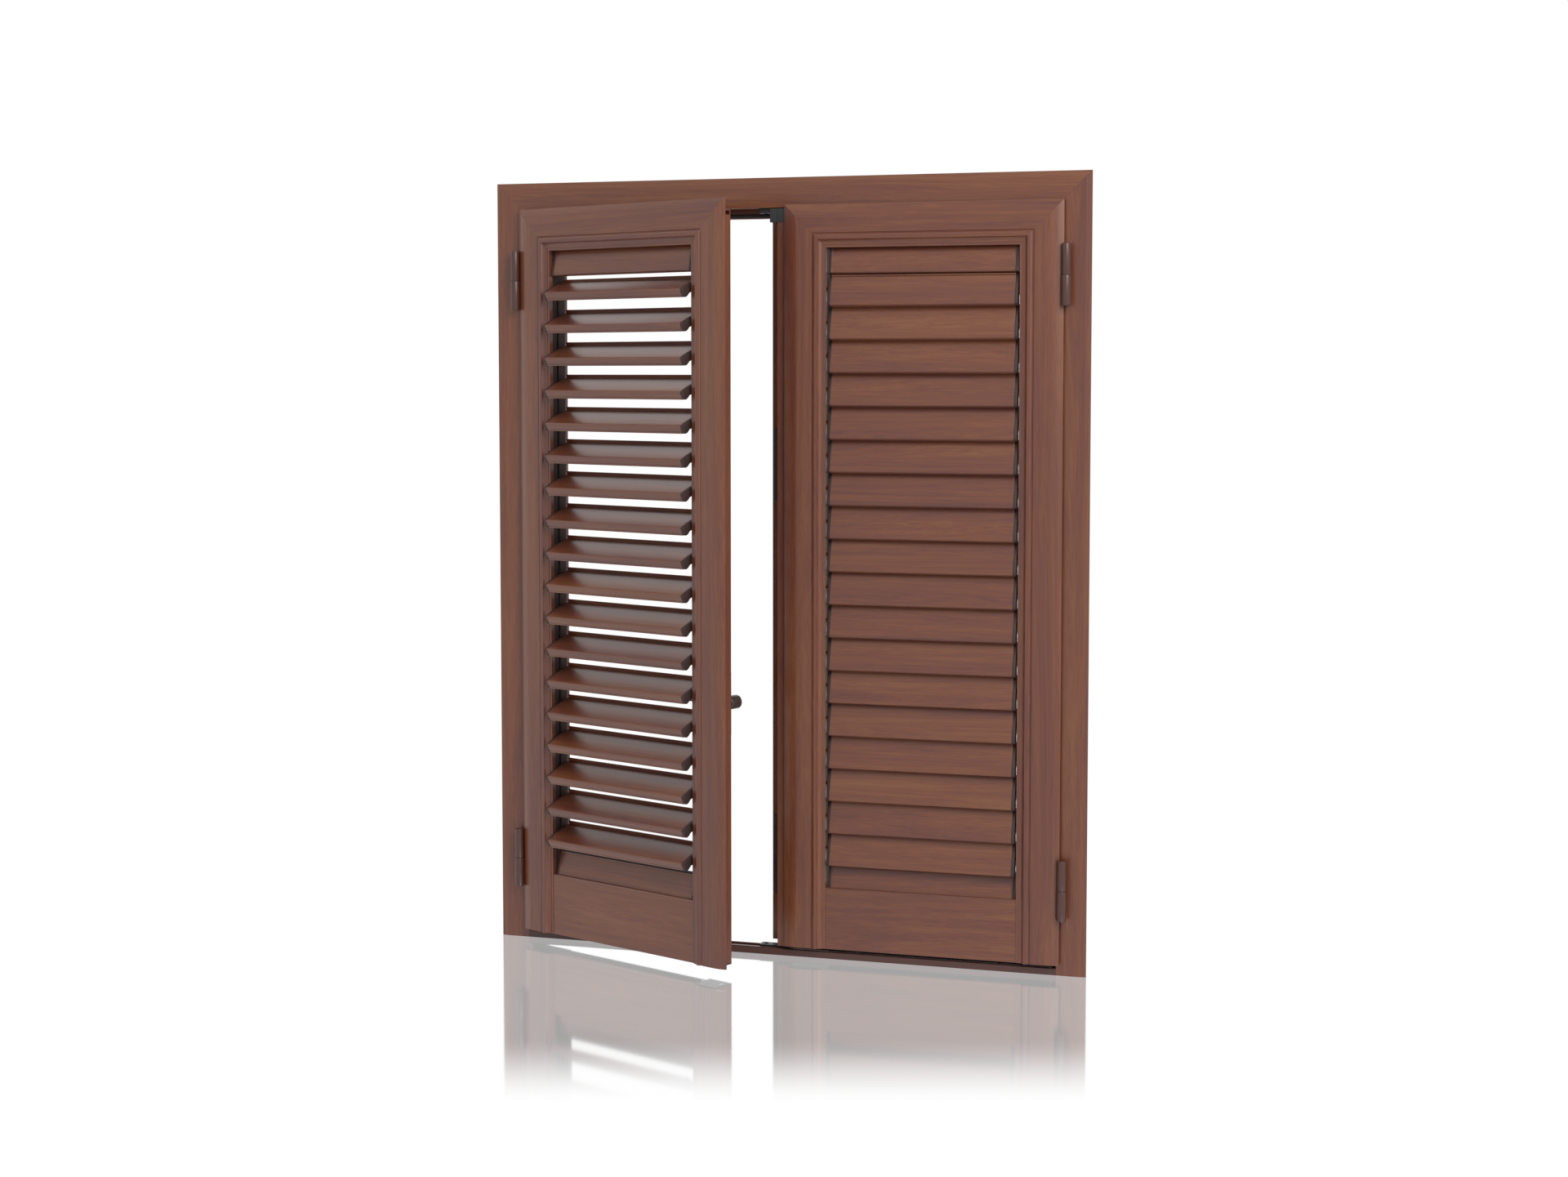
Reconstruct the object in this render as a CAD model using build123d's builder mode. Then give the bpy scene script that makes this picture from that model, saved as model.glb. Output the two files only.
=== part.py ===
from build123d import *
import os
from math import cos, radians, sin

# Louvred shutters: a two-leaf set with turning louvres, in its own fixed frame, in millimetres.
# X runs along the wall, +Y into the wall and +Z up. The origin is the middle of the threshold's underside.
# The left leaf stands ajar with its louvres open, and the right leaf is shut with its louvres closed.

os.makedirs("parts", exist_ok=True)

# Frame: overall size and the section shared by the jambs and the head
frame_width = 1136.0
frame_height = 1440.0
frame_depth = 60.0
jamb_face = 55.0
stop_reach = 17.0
rebate_depth = 42.0
frame_wall = 2.0
outer_lap = 22.0
lap_thickness = 3.0
edge_band = 9.0
edge_bevel = 1.0
edge_line = 0.7

# Threshold between the jambs
threshold_front = 13.0
threshold_front_width = 10.0
threshold_valley = 6.0
threshold_rear = 10.0
threshold_rear_width = 3.5
threshold_chamfer = 1.6
threshold_wall = 1.6

# Leaves: how the front flange lies on the frame, and how far the left leaf is open
leaf_side_margin = 48.0
leaf_top_margin = 50.0
leaf_bottom = 20.0
meeting_gap = 8.0
crest_proud = 16.0
open_angle = 23.0

# Section of the stiles and the top rail, from the outer edge inward and from the crest back
stile_width = 79.0
leaf_depth = 54.0
profile_wall = 1.8
flange_back = 10.4
flange_edge = 7.5
face_level = 2.0
round_width = 24.0
flat_inset = 27.0
quirk_depth = 1.2
bead_inset = 25.0
bead_top_inset = 18.5
cove_inset = 15.0
strip_width = 4.8
cove_depth = 6.2
strip_level = 7.2

# How full the curves of that section are: the place of each curve's middle, as shares of its width and depth
round_swell = 0.42
round_drop = 0.33
bead_swell = 0.35
bead_drop = 0.25
cove_swell = 0.3
cove_drop = 0.7

# Rear of the stiles and rails
body_setback = 18.0
meeting_setback = 27.0
pocket_start = 15.5
pocket_end = 47.5
pocket_depth = 7.0

# Closing bar of the right leaf's meeting stile, with its end plug
step_reach = 16.0
step_level = 16.0
step_return = 2.0
lip_reach = 38.0
lip_front = 58.0
lip_thickness = 8.0
bar_back_width = 12.0
lip_short = 24.0
plug_reach = 15.0
plug_front = 18.0
plug_back = 56.0
plug_below = 13.0
plug_above = 11.5
plug_flange = 2.0

# Bottom rail, fixed slats and louvres
bottom_rail_height = 115.0
rail_front = 8.0
rail_back = 50.0
bead_height = 3.0
bottom_slat_height = 40.5
top_slat_height = 46.5
louvre_count = 18
louvre_overlap = 3.5
louvre_gap = 3.0
cap_length = 7.0
cap_margin = 0.4
pivot_depth = 21.0
open_tilt = 29.0
closed_tilt = 80.0
pivot_offset = 1.0
pivot_lift = 0.75
nose_top = 5.4
nose_bottom = 6.0
nose_chamfer = 1.7
crown = 4.6
crown_front = 18.0
tail_top = 1.2
tail_bottom = 2.4
tail_lip = 3.4
tail_lip_width = 2.8
louvre_wall = 1.4

# Pivots, pivot channels and control rods
journal_radius = 3.0
journal_clearance = 0.1
channel_plate = 3.0
channel_leg = 2.0
crank_radius = 7.5
crank_pin_radius = 1.8
crank_clearance = 0.4
middle_tilt = 50.0
tilt_swing = 30.0
rod_clearance = 0.5
rod_front = 23.0
rod_back = 36.0
rod_tail = 26.0

# Hinges
hinge_length = 110.0
hinge_radius = 7.75
hinge_pin_radius = 4.0
hinge_pin_clearance = 0.08
hinge_joint_gap = 0.3
hinge_side = 5.5
hinge_depth = 0.5
hinge_neck = 3.0
wing_thickness = 2.5
wing_leg = 19.0
upper_hinge_inset = 133.0
lower_hinge_inset = 137.5

# Locking rods, flush bolts and keepers
bolt_width = 10.0
bolt_thickness = 6.0
bolt_clearance = 0.7
slide_clearance = 0.3
bolt_travel = 15.0
bolt_depth = 36.0
left_rod_inset = 36.0
right_bolt_inset = 5.5
tip_above = 2.0
guide_thickness = 2.0
tip_below = 0.5
keeper_height = 9.0
left_keeper_width = 20.0
right_keeper_width = 17.0
keeper_depth = 20.0
sill_keeper_height = 9.5
slider_thickness = 9.0
slider_width = 18.0
neck_width = 9.0
neck_height = 40.0
upper_slider = 828.0
upper_slider_height = 136.0
lower_slider = 94.0
lower_slider_height = 152.0

# Handle of the left leaf
handle_height = 470.0
handle_inset = 46.0
plate_width = 28.0
plate_height = 150.0
plate_thickness = 10.0
plate_crown_width = 21.0
plate_crown_height = 112.0
gearbox_width = 32.0
gearbox_height = 120.0
gearbox_depth = 22.0
rod_engagement = 25.0
hub_radius = 13.0
hub_height = 22.0
spindle_radius = 4.0
spindle_depth = 10.0
lever_length = 116.0
lever_radius = 9.0
lever_tip_radius = 6.5
lever_thickness = 11.0
lever_setback = 1.0

# Fixing screw holes through the jambs
fixing_radius = 3.25
fixing_depth = 28.0
fixing_inset = 240.0
fixing_count = 2

# Places worked out from the sizes above
leaf_width = (frame_width - 2 * leaf_side_margin - meeting_gap) / 2
leaf_height = frame_height - leaf_top_margin - leaf_bottom
opening_top = leaf_height - stile_width
body_top = leaf_height - body_setback
first_gap = bottom_rail_height + bottom_slat_height
louvre_pitch = (opening_top - top_slat_height - first_gap) / louvre_count
lowest_pivot = first_gap + louvre_pitch / 2 + pivot_offset + pivot_lift
nose_reach = (louvre_pitch + louvre_overlap) / 2 + pivot_offset
tail_reach = (louvre_pitch + louvre_overlap) / 2 - pivot_offset
flat_end = stile_width - flat_inset
bead_start = stile_width - bead_inset
bead_top = stile_width - bead_top_inset
cove_start = stile_width - cove_inset
cove_end = stile_width - strip_width
channel_floor = stile_width - pocket_depth
louvre_start = stile_width + louvre_gap
louvre_end = leaf_width - louvre_start
face = -rebate_depth / 2
crest = face - crest_proud
left_rod_x = leaf_side_margin + leaf_width - left_rod_inset - frame_width / 2
right_bolt_x = left_rod_x + left_rod_inset + meeting_gap - right_bolt_inset
bolt_y = crest + bolt_depth
head_underside = frame_height - jamb_face
upper_hinge = leaf_height - upper_hinge_inset
lower_hinge = lower_hinge_inset

# The frame's and the right leaf's planes have their zero at an outer corner. The left leaf's is turned
# about the hinge axis. In each, x runs to the right, y back into the wall and z up.
frame = Plane(origin=(-frame_width / 2, face, 0))
right_leaf = Plane(origin=(frame_width / 2 - leaf_side_margin - leaf_width, crest, leaf_bottom))
swing = radians(open_angle)
left_leaf = Plane(
    origin=(
        leaf_side_margin - hinge_side - frame_width / 2 + hinge_side * cos(swing) - hinge_depth * sin(swing),
        crest + hinge_depth - hinge_side * sin(swing) - hinge_depth * cos(swing),
        leaf_bottom,
    ),
    x_dir=(cos(swing), -sin(swing), 0),
    z_dir=(0, 0, 1),
)


def frame_profile():
    """Hollow section of the jambs and head, from the outer edge inward: a thin lap over the wall with its band,
    the face, the rebate and the rear stop."""
    with BuildSketch() as profile:
        with BuildLine():
            Polyline(
                (0, edge_bevel + edge_line),
                (edge_band, edge_line),
                (edge_band + edge_line, 0),
                (jamb_face, 0),
                (jamb_face, rebate_depth),
                (jamb_face + stop_reach, rebate_depth),
                (jamb_face + stop_reach, frame_depth),
                (outer_lap, frame_depth),
                (outer_lap, lap_thickness),
                (0, lap_thickness),
                close=True,
            )
        make_face()
        with BuildLine():
            Polyline(
                (outer_lap + frame_wall, frame_wall),
                (jamb_face - frame_wall, frame_wall),
                (jamb_face - frame_wall, rebate_depth + frame_wall),
                (jamb_face + stop_reach - frame_wall, rebate_depth + frame_wall),
                (jamb_face + stop_reach - frame_wall, frame_depth - frame_wall),
                (outer_lap + frame_wall, frame_depth - frame_wall),
                close=True,
            )
        make_face(mode=Mode.SUBTRACT)
    return profile.sketch


def leaf_profile(edge, side, back, chamber):
    """Hollow section with the leaves' moulded face. It starts at edge and runs inward to side; back lists
    the corners behind it, from the inner edge round to the flange, and chamber those of the hollow."""

    def at(inward, depth):
        return (edge + side * inward, depth)

    with BuildSketch() as profile:
        with BuildLine():
            round_middle = at(round_width * round_swell, face_level + (flange_edge - face_level) * round_drop)
            ThreePointArc(at(0, flange_edge), round_middle, at(round_width, face_level))
            Polyline(
                at(round_width, face_level),
                at(flat_end, face_level),
                at(flat_end + quirk_depth, face_level + quirk_depth),
                at(bead_start, face_level + quirk_depth),
            )
            bead_middle = at(bead_start + (bead_top - bead_start) * bead_swell, (face_level + quirk_depth) * bead_drop)
            ThreePointArc(at(bead_start, face_level + quirk_depth), bead_middle, at(bead_top, 0))
            Line(at(bead_top, 0), at(cove_start, 0))
            cove_middle = at(cove_start + (cove_end - cove_start) * cove_swell, cove_depth * cove_drop)
            ThreePointArc(at(cove_start, 0), cove_middle, at(cove_end, cove_depth))
            Polyline(
                at(cove_end, cove_depth),
                at(cove_end, strip_level),
                at(stile_width, strip_level),
                *[at(inward, depth) for inward, depth in back],
                at(0, flange_back),
                at(0, flange_edge),
            )
        make_face()
        with BuildLine():
            Polyline(*[at(inward, depth) for inward, depth in chamber], close=True)
        make_face(mode=Mode.SUBTRACT)
    return profile.sketch


def plain_back(setback):
    """Back of an ordinary member: the channel pocket, the rear face and the body's outer side."""
    return [
        (stile_width, pocket_start),
        (channel_floor, pocket_start),
        (channel_floor, pocket_end),
        (stile_width, pocket_end),
        (stile_width, leaf_depth),
        (setback, leaf_depth),
        (setback, flange_back),
    ]


def plain_chamber(setback):
    """Hollow of an ordinary member, one wall inside its face, pocket, rear and outer side."""
    return [
        (setback + profile_wall, face_level + quirk_depth + profile_wall),
        (cove_start, face_level + quirk_depth + profile_wall),
        (channel_floor - profile_wall, cove_depth + profile_wall),
        (channel_floor - profile_wall, leaf_depth - profile_wall),
        (setback + profile_wall, leaf_depth - profile_wall),
    ]


def corner_plane(leaf, x, lean):
    """Mitre plane through a leaf's top corner; lean is 1 at its left corner and -1 at its right."""
    corner = leaf.from_local_coords(Vector(x, 0, leaf_height))
    return Plane(origin=corner, z_dir=leaf.x_dir * lean + leaf.z_dir)


def stile(leaf, edge, side, back, chamber):
    """One stile, mitred at the top and square at the bottom."""
    with BuildPart() as bar:
        with BuildSketch(leaf):
            add(leaf_profile(edge, side, back, chamber))
        extrude(amount=leaf_height)
        split(bisect_by=corner_plane(leaf, edge, side), keep=Keep.BOTTOM)
    return bar.part


def top_rail(leaf):
    """The stiles' section laid across the top, its outer edge up, mitred at both ends."""
    corner = leaf.from_local_coords(Vector(0, 0, leaf_height))
    with BuildPart() as bar:
        with BuildSketch(Plane(origin=corner, x_dir=-leaf.z_dir, z_dir=leaf.x_dir)):
            add(leaf_profile(0, 1, plain_back(body_setback), plain_chamber(body_setback)))
        extrude(amount=leaf_width)
        split(bisect_by=corner_plane(leaf, 0, 1), keep=Keep.TOP)
        split(bisect_by=corner_plane(leaf, leaf_width, -1), keep=Keep.TOP)
    return bar.part


def bottom_rail(leaf):
    """Flat hollow board between the stiles, with a small bead along its top front edge."""
    inner_edge = leaf.from_local_coords(Vector(stile_width, 0, 0))
    with BuildPart() as bar:
        with BuildSketch(Plane(origin=inner_edge, x_dir=leaf.y_dir, z_dir=leaf.x_dir)) as section:
            with BuildLine():
                Polyline(
                    (rail_front, bottom_rail_height - bead_height),
                    (rail_front, 0),
                    (rail_back, 0),
                    (rail_back, bottom_rail_height),
                    (rail_front + bead_height, bottom_rail_height),
                )
                top_of_bead = (rail_front - bead_height / 2, bottom_rail_height)
                RadiusArc((rail_front + bead_height, bottom_rail_height), top_of_bead, bead_height)
                Line(top_of_bead, (rail_front, bottom_rail_height - bead_height))
            make_face()
            with Locations(((rail_front + rail_back) / 2, bottom_rail_height / 2)):
                Rectangle(
                    rail_back - rail_front - 2 * profile_wall,
                    bottom_rail_height - 2 * profile_wall,
                    mode=Mode.SUBTRACT,
                )
        extrude(amount=leaf_width - 2 * stile_width)
    return bar.part


def blade_plane(leaf, x, height, tilt):
    """Section plane of a louvre: x to its nose, y to its crown, and the normal to the leaf's left."""
    pivot = leaf.from_local_coords(Vector(x, pivot_depth, height))
    nose = -leaf.y_dir * cos(radians(tilt)) - leaf.z_dir * sin(radians(tilt))
    return Plane(origin=pivot, x_dir=nose, z_dir=-leaf.x_dir)


def blade_outline():
    """Outer section of a louvre: blunt chamfered nose, crown in flats, flat belly and an upturned rear lip."""
    with BuildSketch() as outline:
        with BuildLine():
            Polyline(
                (nose_reach - nose_chamfer, nose_top),
                (crown_front, nose_top),
                (0, crown),
                (tail_lip_width - tail_reach, tail_top),
                (tail_lip_width - tail_reach, tail_lip),
                (-tail_reach, tail_lip),
                (-tail_reach, -tail_bottom),
                (nose_reach - nose_chamfer, -nose_bottom),
                (nose_reach, nose_chamfer - nose_bottom),
                (nose_reach, nose_top - nose_chamfer),
                close=True,
            )
        make_face()
    return outline.sketch


def cap_outline():
    """Section of an end cap: the blade's outline with straight sides, a little larger all round."""
    nose = nose_reach + cap_margin
    tail = tail_reach + cap_margin
    with BuildSketch() as outline:
        with BuildLine():
            Polyline(
                (nose - nose_chamfer, nose_top + cap_margin),
                (0, crown + cap_margin),
                (-tail, tail_lip + cap_margin),
                (-tail, -tail_bottom - cap_margin),
                (nose - nose_chamfer, -nose_bottom - cap_margin),
                (nose, nose_chamfer - nose_bottom),
                (nose, nose_top - nose_chamfer),
                close=True,
            )
        make_face()
    return outline.sketch


def blade(leaf, height, tilt):
    """Hollow louvre blade between its end caps."""
    with BuildPart() as extrusion:
        with BuildSketch(blade_plane(leaf, louvre_end - cap_length, height, tilt)):
            add(blade_outline())
            with BuildLine():
                Polyline(
                    (nose_reach - louvre_wall, nose_top - louvre_wall - nose_chamfer),
                    (tail_lip_width - tail_reach, tail_top - louvre_wall),
                    (tail_lip_width - tail_reach, louvre_wall - tail_bottom),
                    (nose_reach - louvre_wall, louvre_wall + nose_chamfer - nose_bottom),
                    close=True,
                )
            make_face(mode=Mode.SUBTRACT)
        extrude(amount=louvre_end - louvre_start - 2 * cap_length)
    return extrusion.part


def turning_end(leaf, x, outward, height, tilt, crank):
    """End cap of a louvre, its inner face at x, with a six-sided journal into the pivot channel. The cap
    beside the hinge stile also carries the crank pin that the control rod takes hold of."""
    with BuildPart() as end:
        with BuildSketch(blade_plane(leaf, x, height, tilt)):
            add(cap_outline())
        extrude(amount=-outward * cap_length)
        with BuildSketch(blade_plane(leaf, x + outward * cap_length, height, middle_tilt)):
            RegularPolygon(journal_radius, 6)
        extrude(amount=-outward * (louvre_gap + channel_plate))
        if crank:
            arm = radians(middle_tilt - tilt)
            with BuildSketch(blade_plane(leaf, x + outward * cap_length, height, 0)):
                with Locations((-crank_radius * cos(arm), -crank_radius * sin(arm))):
                    RegularPolygon(crank_pin_radius, 4)
            extrude(amount=-outward * (louvre_gap + pocket_depth - rod_clearance))
    return end.part


def louvre(leaf, height, tilt, crank_side):
    """One whole louvre: the blade and its two ends, with the crank on the left or right one."""
    left_end = turning_end(leaf, louvre_start + cap_length, -1, height, tilt, crank_side < 0)
    right_end = turning_end(leaf, louvre_end - cap_length, 1, height, tilt, crank_side > 0)
    return [blade(leaf, height, tilt), left_end, right_end]


def pivot_heights():
    """Heights of the louvre pivots above the bottom of the leaf, from the top louvre down."""
    return [lowest_pivot + row * louvre_pitch for row in reversed(range(louvre_count))]


def pivot_channels(leaf):
    """The two plastic channels in the stiles' pockets, with a window for each journal and the crank slot."""
    slot_front = pivot_depth + crank_radius * cos(radians(tilt_swing)) - crank_pin_radius - crank_clearance
    slot_back = pivot_depth + crank_radius + crank_pin_radius + crank_clearance
    channel_height = opening_top - bottom_rail_height
    window = 2 * (journal_radius + journal_clearance)
    slot_height = (louvre_count - 1) * louvre_pitch + 2 * crank_radius
    middle_pivot = lowest_pivot + (louvre_count - 1) * louvre_pitch / 2
    with BuildPart() as channels:
        for edge, side in ((0, 1), (leaf_width, -1)):
            plate_middle = edge + side * (stile_width - channel_plate / 2)
            leg_middle = edge + side * (channel_floor + pocket_depth / 2)
            with BuildSketch(leaf.offset(bottom_rail_height)):
                with Locations((plate_middle, (pocket_start + pocket_end) / 2)):
                    Rectangle(channel_plate, pocket_end - pocket_start)
                with Locations(
                    (leg_middle, pocket_start + channel_leg / 2),
                    (leg_middle, pocket_end - channel_leg / 2),
                ):
                    Rectangle(pocket_depth, channel_leg)
            extrude(amount=channel_height)
            outside = leaf.from_local_coords(Vector(edge + side * channel_floor, 0, 0))
            with BuildSketch(Plane(origin=outside, x_dir=leaf.y_dir, z_dir=leaf.x_dir)):
                with Locations(*[(pivot_depth, height) for height in pivot_heights()]):
                    Rectangle(window, window)
                with Locations(((slot_front + slot_back) / 2, middle_pivot)):
                    Rectangle(slot_back - slot_front, slot_height)
            extrude(amount=side * pocket_depth, mode=Mode.SUBTRACT)
    return channels.part


def control_rod(leaf, edge, side, tilt):
    """Flat strip behind the hinge stile's channel, with a window for the crank pin of every louvre."""
    lift = crank_radius * sin(radians(tilt - middle_tilt))
    window_front = pivot_depth + crank_radius * cos(radians(tilt_swing)) - crank_pin_radius - crank_clearance
    window_back = pivot_depth + crank_radius + crank_pin_radius + crank_clearance
    lowest_window = lowest_pivot + lift
    rod_height = (louvre_count - 1) * louvre_pitch + 2 * rod_tail
    outside = leaf.from_local_coords(Vector(edge + side * (channel_floor + rod_clearance), 0, 0))
    with BuildPart() as rod:
        with BuildSketch(Plane(origin=outside, x_dir=leaf.y_dir, z_dir=leaf.x_dir)):
            with Locations(((rod_front + rod_back) / 2, lowest_window - rod_tail + rod_height / 2)):
                Rectangle(rod_back - rod_front, rod_height)
            with Locations(*[((window_front + window_back) / 2, height + lift) for height in pivot_heights()]):
                Rectangle(
                    window_back - window_front,
                    2 * (crank_pin_radius + crank_clearance),
                    mode=Mode.SUBTRACT,
                )
        extrude(amount=side * (pocket_depth - channel_plate - 2 * rod_clearance))
    return rod.part


def fixed_slat(leaf, height, cut, keep):
    """A louvre that doesn't turn, at the top or bottom of the opening, cut off where it meets its rail."""
    plane = Plane(origin=leaf.from_local_coords(Vector(0, 0, cut)), z_dir=leaf.z_dir)
    pieces = [blade(leaf, height, closed_tilt)]
    for x, outward in ((louvre_start + cap_length, -1), (louvre_end - cap_length, 1)):
        with BuildPart() as cap:
            with BuildSketch(blade_plane(leaf, x, height, closed_tilt)):
                add(cap_outline())
            extrude(amount=-outward * cap_length)
        pieces.append(cap.part)
    return [split(piece, bisect_by=plane, keep=keep, mode=Mode.PRIVATE) for piece in pieces]


def bolt_hole(mode=Mode.ADD):
    """Slot that a locking rod or bolt passes through, with its clearance."""
    Rectangle(bolt_thickness + 2 * bolt_clearance, bolt_width + 2 * bolt_clearance, mode=mode)


# Frame jambs
# Two hollow extrusions, mirror images, mitred at the top, with screw holes from the rebate to the reveal.
with BuildPart() as frame_jambs:
    with BuildSketch(frame):
        add(frame_profile())
    extrude(amount=frame_height)
    split(bisect_by=Plane(origin=(-frame_width / 2, face, frame_height), z_dir=(1, 0, 1)), keep=Keep.BOTTOM)
    side_middle = (-frame_width / 2, face + fixing_depth, frame_height / 2)
    with BuildSketch(Plane(origin=side_middle, x_dir=(0, 0, 1), z_dir=(1, 0, 0))):
        with GridLocations((frame_height - 2 * fixing_inset) / (fixing_count - 1), 1, fixing_count, 1):
            Circle(fixing_radius)
    extrude(amount=jamb_face, mode=Mode.SUBTRACT)
    mirror(about=Plane.YZ)
frame_jambs.part.label = "frame_jambs"
export_step(frame_jambs.part, "parts/frame_jambs.step")

# Frame head
# The same extrusion laid across the top. Two keepers for the upper bolts are screwed up under it.
with BuildPart() as head_bar:
    corner = (-frame_width / 2, face, frame_height)
    with BuildSketch(Plane(origin=corner, x_dir=(0, 0, -1), z_dir=(1, 0, 0))):
        add(frame_profile())
    extrude(amount=frame_width)
    split(bisect_by=Plane(origin=corner, z_dir=(1, 0, 1)), keep=Keep.TOP)
    split(bisect_by=Plane(origin=(frame_width / 2, face, frame_height), z_dir=(-1, 0, 1)), keep=Keep.TOP)
    with BuildSketch(Plane.XY.offset(head_underside)):
        with Locations((left_rod_x, bolt_y), (right_bolt_x, bolt_y)):
            bolt_hole()
    extrude(amount=frame_wall, mode=Mode.SUBTRACT)
with BuildPart() as head_keepers:
    with BuildSketch(Plane.XY.offset(head_underside - keeper_height)):
        with Locations((left_rod_x, bolt_y)):
            Rectangle(left_keeper_width, keeper_depth)
        with Locations((right_bolt_x, bolt_y)):
            Rectangle(right_keeper_width, keeper_depth)
        with Locations((left_rod_x, bolt_y), (right_bolt_x, bolt_y)):
            bolt_hole(Mode.SUBTRACT)
    extrude(amount=keeper_height)
frame_head = Compound(label="frame_head", children=[head_bar.part, head_keepers.part])
export_step(frame_head, "parts/frame_head.step")

# Threshold
# A low hollow extrusion between the jambs: front upstand, drained valley and rear rib, and the lower keeper.
between_jambs = frame_width - 2 * jamb_face
with BuildPart() as sill_bar:
    with BuildSketch(Plane(origin=(-between_jambs / 2, face, 0), x_dir=(0, 1, 0), z_dir=(1, 0, 0))) as section:
        with BuildLine():
            Polyline(
                (0, 0),
                (0, threshold_front - threshold_chamfer),
                (threshold_chamfer, threshold_front),
                (threshold_front_width - threshold_chamfer, threshold_front),
                (threshold_front_width, threshold_valley),
                (rebate_depth - threshold_rear_width, threshold_valley),
                (rebate_depth - threshold_rear_width, threshold_rear),
                (rebate_depth, threshold_rear),
                (rebate_depth, 0),
                close=True,
            )
        make_face()
        with BuildLine():
            Polyline(
                (threshold_wall, threshold_wall),
                (threshold_wall, threshold_front - 2 * threshold_wall),
                (threshold_front_width - 2 * threshold_wall, threshold_front - 2 * threshold_wall),
                (threshold_front_width - threshold_wall, threshold_valley - threshold_wall),
                (rebate_depth - threshold_wall, threshold_valley - threshold_wall),
                (rebate_depth - threshold_wall, threshold_wall),
                close=True,
            )
        make_face(mode=Mode.SUBTRACT)
    extrude(amount=between_jambs)
    with BuildSketch(Plane.XY.offset(threshold_wall)):
        with Locations((left_rod_x, bolt_y), (right_bolt_x, bolt_y)):
            bolt_hole()
    extrude(amount=threshold_valley, mode=Mode.SUBTRACT)
with BuildPart() as sill_keeper:
    with BuildSketch(Plane.XY.offset(threshold_valley)):
        with Locations(((left_rod_x + right_bolt_x) / 2, bolt_y)):
            Rectangle(right_bolt_x - left_rod_x + left_keeper_width, keeper_depth)
        with Locations((left_rod_x, bolt_y), (right_bolt_x, bolt_y)):
            bolt_hole(Mode.SUBTRACT)
    extrude(amount=sill_keeper_height)
frame_threshold = Compound(label="frame_threshold", children=[sill_bar.part, sill_keeper.part])
export_step(frame_threshold, "parts/frame_threshold.step")

# Hinges, frame half
# The lower knuckle and the pin of each lift-off hinge, on a wing that wraps the corner of the jamb.
with BuildPart() as frame_hinge_pins:
    axis_u = leaf_side_margin - hinge_side
    axis_v = hinge_depth - crest_proud
    for middle in (lower_hinge + leaf_bottom, upper_hinge + leaf_bottom):
        with BuildSketch(frame.offset(middle - hinge_length / 2)):
            with BuildLine():
                Polyline(
                    (axis_u - hinge_neck, axis_v),
                    (axis_u - hinge_neck, 0),
                    (jamb_face, 0),
                    (jamb_face, wing_leg),
                    (jamb_face + wing_thickness, wing_leg),
                    (jamb_face + wing_thickness, -wing_thickness),
                    (axis_u, -wing_thickness),
                    (axis_u, axis_v),
                    close=True,
                )
            make_face()
            with Locations((axis_u, axis_v)):
                Circle(hinge_radius)
        extrude(amount=(hinge_length - hinge_joint_gap) / 2)
        with BuildSketch(frame.offset(middle - hinge_joint_gap / 2)):
            with Locations((axis_u, axis_v)):
                Circle(hinge_pin_radius)
        extrude(amount=hinge_length / 2 - hinge_pin_radius)
    mirror(about=Plane.YZ)
frame_hinge_pins.part.label = "frame_hinge_pins"
export_step(frame_hinge_pins.part, "parts/frame_hinge_pins.step")


# Hinges, leaf half
# The upper knuckles, bored for the pins. Their wings lie behind the flange and down the side of the body.
def leaf_knuckles(leaf, edge, side):
    """Both upper knuckles of a leaf whose outer edge is at edge, side being the way inward."""
    wing_back = flange_back + wing_thickness
    corners = [
        (-hinge_side, hinge_depth),
        (-hinge_side, wing_back),
        (body_setback - wing_thickness, wing_back),
        (body_setback - wing_thickness, flange_back + wing_leg),
        (body_setback, flange_back + wing_leg),
        (body_setback, flange_back),
        (hinge_neck - hinge_side, flange_back),
        (hinge_neck - hinge_side, hinge_depth),
    ]
    with BuildPart() as knuckles:
        for middle in (lower_hinge, upper_hinge):
            with BuildSketch(leaf.offset(middle + hinge_joint_gap / 2)):
                with BuildLine():
                    Polyline(*[(edge + side * inward, depth) for inward, depth in corners], close=True)
                make_face()
                with Locations((edge - side * hinge_side, hinge_depth)):
                    Circle(hinge_radius)
            extrude(amount=(hinge_length - hinge_joint_gap) / 2)
            with BuildSketch(leaf.offset(middle + hinge_joint_gap / 2)):
                with Locations((edge - side * hinge_side, hinge_depth)):
                    Circle(hinge_pin_radius + hinge_pin_clearance)
            extrude(amount=hinge_length / 2 - hinge_pin_radius, mode=Mode.SUBTRACT)
    return knuckles.part


with BuildPart() as left_hinge_knuckles:
    add(leaf_knuckles(left_leaf, 0, 1))
left_hinge_knuckles.part.label = "left_hinge_knuckles"
export_step(left_hinge_knuckles.part, "parts/left_hinge_knuckles.step")

with BuildPart() as right_hinge_knuckles:
    add(leaf_knuckles(right_leaf, leaf_width, -1))
right_hinge_knuckles.part.label = "right_hinge_knuckles"
export_step(right_hinge_knuckles.part, "parts/right_hinge_knuckles.step")

# Hinge stiles
with BuildPart() as left_hinge_stile:
    add(stile(left_leaf, 0, 1, plain_back(body_setback), plain_chamber(body_setback)))
left_hinge_stile.part.label = "left_hinge_stile"
export_step(left_hinge_stile.part, "parts/left_hinge_stile.step")

with BuildPart() as right_hinge_stile:
    add(stile(right_leaf, leaf_width, -1, plain_back(body_setback), plain_chamber(body_setback)))
right_hinge_stile.part.label = "right_hinge_stile"
export_step(right_hinge_stile.part, "parts/right_hinge_stile.step")

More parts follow.
